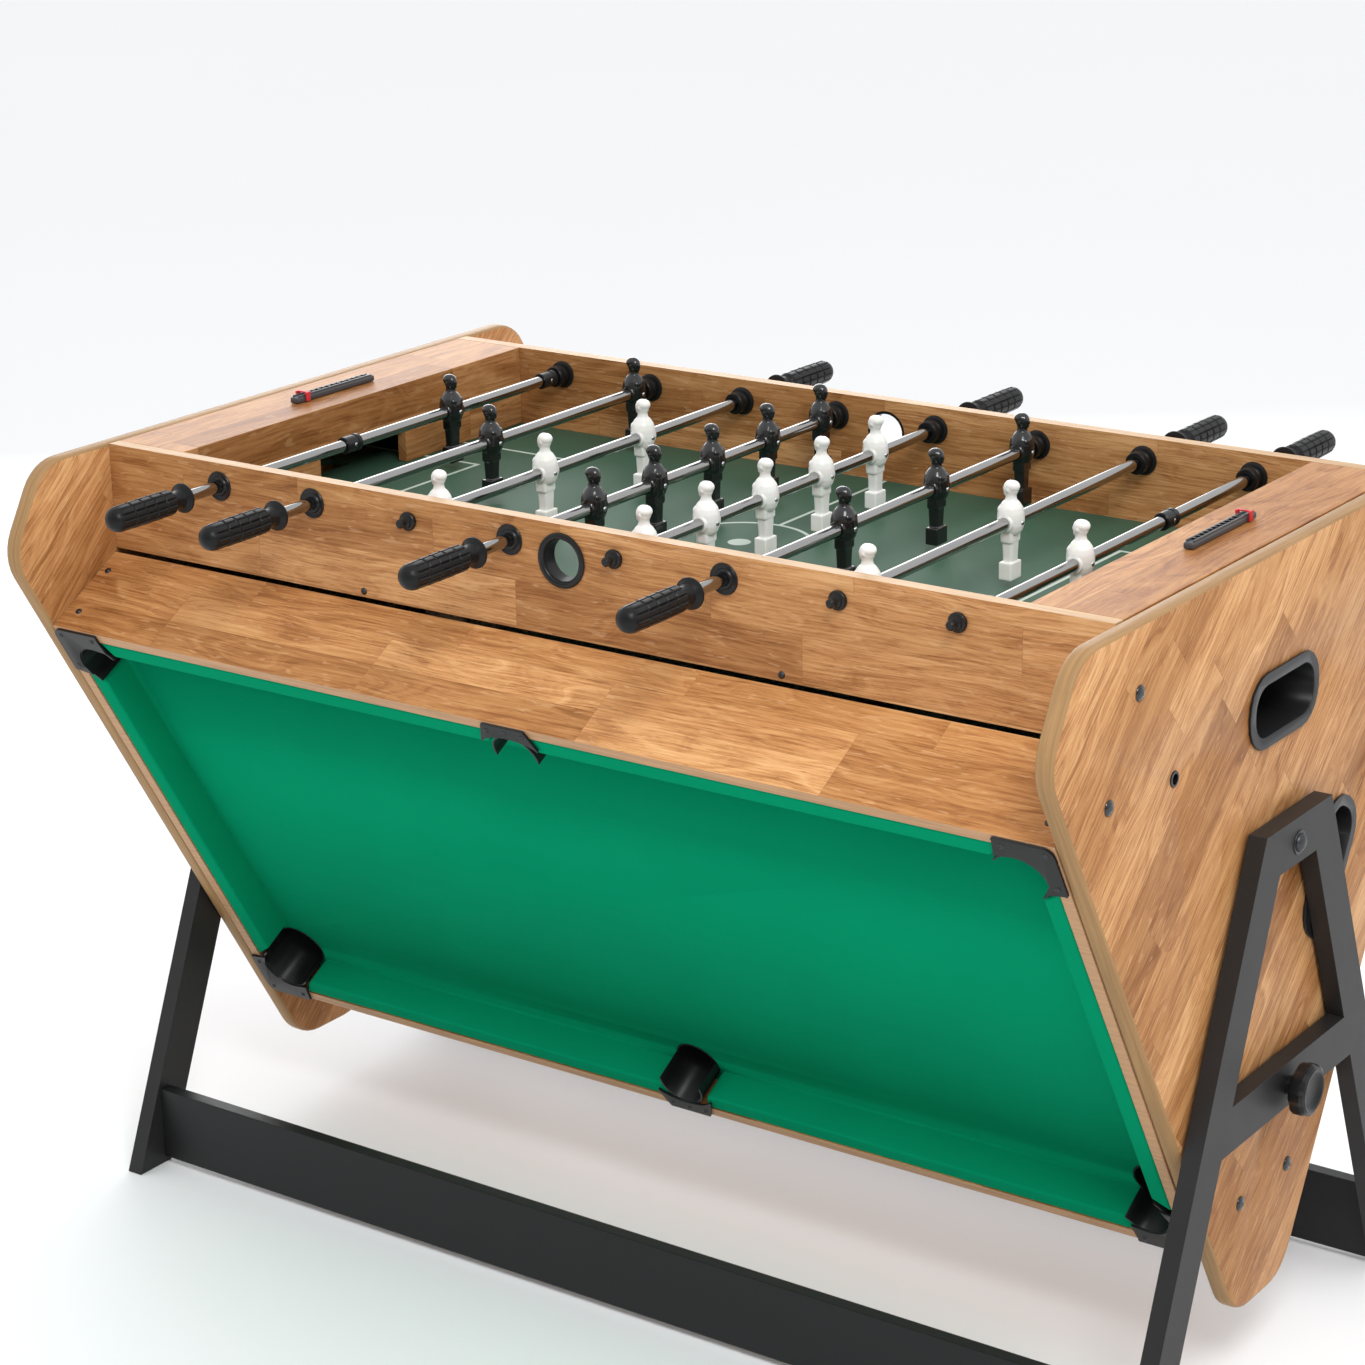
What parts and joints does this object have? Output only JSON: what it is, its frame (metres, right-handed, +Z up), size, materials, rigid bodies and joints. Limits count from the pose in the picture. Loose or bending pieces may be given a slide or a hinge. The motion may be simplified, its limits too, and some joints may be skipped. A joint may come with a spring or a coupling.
{
  "type": "rotating multi-game table",
  "caption": "Family game table with pool, table football and glide hockey in shallow boxes on one cabinet that turns between two A-frame legs, with lock knobs and telescopic rods.",
  "frame": {"origin": "on the floor, under the middle of the table", "axes": "+X along the table's length, +Y to the side with the white team's handles, +Z up, with the football box on top"},
  "size_m": [1.321, 0.916, 0.864],
  "materials": {
    "oak_laminate": "satin laminated wood staves",
    "stand_paint": "satin charcoal powder coat",
    "stretcher_board": "satin dark board",
    "dark_steel": "dark bolt steel",
    "black_plastic": "moulded black plastic",
    "chrome": "polished chrome tube",
    "black_men": "glossy black moulded men on chrome tubes",
    "ivory_men": "glossy ivory moulded men on chrome tubes",
    "handle_rubber": "grooved matte rubber",
    "field_print": "printed satin board",
    "pool_felt": "woven green cloth",
    "rink_board": "smooth lacquered board",
    "scorer_plastic": "dark grey moulded plastic",
    "marker_red": "red moulded plastic"
  },
  "bodies": {
    "stand": {"left_a_frame": "stand_paint", "right_a_frame": "stand_paint", "front_stretcher": "stretcher_board", "rear_stretcher": "stretcher_board", "left_pivot_bolt": "dark_steel", "right_pivot_bolt": "dark_steel"},
    "cabinet": {"football_front_apron": "oak_laminate", "football_left_goal_box": "oak_laminate", "football_rear_apron": "oak_laminate", "football_return_left": "black_plastic", "football_return_right": "black_plastic", "football_right_goal_box": "oak_laminate", "front_serve_ring": "black_plastic", "hockey_box": "oak_laminate", "hockey_return_left": "black_plastic", "hockey_return_right": "black_plastic", "hockey_rink": "rink_board", "left_end_panel": "oak_laminate", "playfield": "field_print", "pocket_lower_left": "black_plastic", "pocket_lower_middle": "black_plastic", "pocket_lower_right": "black_plastic", "pocket_upper_left": "black_plastic", "pocket_upper_middle": "black_plastic", "pocket_upper_right": "black_plastic", "pool_bed": "pool_felt", "pool_box": "oak_laminate", "rear_serve_ring": "black_plastic", "right_end_panel": "oak_laminate", "score_rail_left": "scorer_plastic", "score_rail_right": "scorer_plastic"},
    "left_lock_knob": {"left_lock_knob": "black_plastic"},
    "right_lock_knob": {"right_lock_knob": "black_plastic"},
    "inner_rod_1": {"inner_rod_1": "chrome"},
    "rod_1": {"rod_1_black_men": "black_men", "handle_1": "handle_rubber"},
    "inner_rod_2": {"inner_rod_2": "chrome"},
    "rod_2": {"rod_2_black_men": "black_men", "handle_2": "handle_rubber"},
    "inner_rod_3": {"inner_rod_3": "chrome"},
    "rod_3": {"rod_3_white_men": "ivory_men", "handle_3": "handle_rubber"},
    "inner_rod_4": {"inner_rod_4": "chrome"},
    "rod_4": {"rod_4_black_men": "black_men", "handle_4": "handle_rubber"},
    "inner_rod_5": {"inner_rod_5": "chrome"},
    "rod_5": {"rod_5_white_men": "ivory_men", "handle_5": "handle_rubber"},
    "inner_rod_6": {"inner_rod_6": "chrome"},
    "rod_6": {"rod_6_black_men": "black_men", "handle_6": "handle_rubber"},
    "inner_rod_7": {"inner_rod_7": "chrome"},
    "rod_7": {"rod_7_white_men": "ivory_men", "handle_7": "handle_rubber"},
    "inner_rod_8": {"inner_rod_8": "chrome"},
    "rod_8": {"rod_8_white_men": "ivory_men", "handle_8": "handle_rubber"},
    "score_marker_left": {"score_marker_left": "marker_red"},
    "score_marker_right": {"score_marker_right": "marker_red"}
  },
  "joints": [
    {"name": "table_turn", "type": "hinge", "parent": "stand", "child": "cabinet", "pos_m": [0, 0, 0.56], "axis": [1, 0, 0], "range_deg": [-240, 240]},
    {"name": "left_lock_push", "type": "slide", "parent": "stand", "child": "left_lock_knob", "axis": [1, 0, 0], "range_m": [0, 0.0085]},
    {"name": "right_lock_push", "type": "slide", "parent": "stand", "child": "right_lock_knob", "axis": [-1, 0, 0], "range_m": [0, 0.0085]},
    {"name": "rod_1_spin", "type": "hinge", "parent": "cabinet", "child": "inner_rod_1", "pos_m": [-0.4375, 0, 0.823], "axis": [0, 1, 0], "continuous": true},
    {"name": "rod_1_slide", "type": "slide", "parent": "inner_rod_1", "child": "rod_1", "axis": [0, -1, 0], "range_m": [0, 0.156]},
    {"name": "rod_2_spin", "type": "hinge", "parent": "cabinet", "child": "inner_rod_2", "pos_m": [-0.3125, 0, 0.823], "axis": [0, 1, 0], "continuous": true},
    {"name": "rod_2_slide", "type": "slide", "parent": "inner_rod_2", "child": "rod_2", "axis": [0, -1, 0], "range_m": [0, 0.24]},
    {"name": "rod_3_spin", "type": "hinge", "parent": "cabinet", "child": "inner_rod_3", "pos_m": [-0.1875, 0, 0.823], "axis": [0, 1, 0], "continuous": true},
    {"name": "rod_3_slide", "type": "slide", "parent": "inner_rod_3", "child": "rod_3", "axis": [0, -1, 0], "range_m": [-0.156, 0]},
    {"name": "rod_4_spin", "type": "hinge", "parent": "cabinet", "child": "inner_rod_4", "pos_m": [-0.0625, 0, 0.823], "axis": [0, 1, 0], "continuous": true},
    {"name": "rod_4_slide", "type": "slide", "parent": "inner_rod_4", "child": "rod_4", "axis": [0, -1, 0], "range_m": [0, 0.088]},
    {"name": "rod_5_spin", "type": "hinge", "parent": "cabinet", "child": "inner_rod_5", "pos_m": [0.0625, 0, 0.823], "axis": [0, 1, 0], "continuous": true},
    {"name": "rod_5_slide", "type": "slide", "parent": "inner_rod_5", "child": "rod_5", "axis": [0, -1, 0], "range_m": [-0.088, 0]},
    {"name": "rod_6_spin", "type": "hinge", "parent": "cabinet", "child": "inner_rod_6", "pos_m": [0.1875, 0, 0.823], "axis": [0, 1, 0], "continuous": true},
    {"name": "rod_6_slide", "type": "slide", "parent": "inner_rod_6", "child": "rod_6", "axis": [0, -1, 0], "range_m": [0, 0.156]},
    {"name": "rod_7_spin", "type": "hinge", "parent": "cabinet", "child": "inner_rod_7", "pos_m": [0.3125, 0, 0.823], "axis": [0, 1, 0], "continuous": true},
    {"name": "rod_7_slide", "type": "slide", "parent": "inner_rod_7", "child": "rod_7", "axis": [0, -1, 0], "range_m": [-0.24, 0]},
    {"name": "rod_8_spin", "type": "hinge", "parent": "cabinet", "child": "inner_rod_8", "pos_m": [0.4375, 0, 0.823], "axis": [0, 1, 0], "continuous": true},
    {"name": "rod_8_slide", "type": "slide", "parent": "inner_rod_8", "child": "rod_8", "axis": [0, -1, 0], "range_m": [-0.156, 0]},
    {"name": "left_score_slide", "type": "slide", "parent": "cabinet", "child": "score_marker_left", "axis": [0, 1, 0], "range_m": [0, 0.098]},
    {"name": "right_score_slide", "type": "slide", "parent": "cabinet", "child": "score_marker_right", "axis": [0, 1, 0], "range_m": [-0.098, 0]}
  ]
}
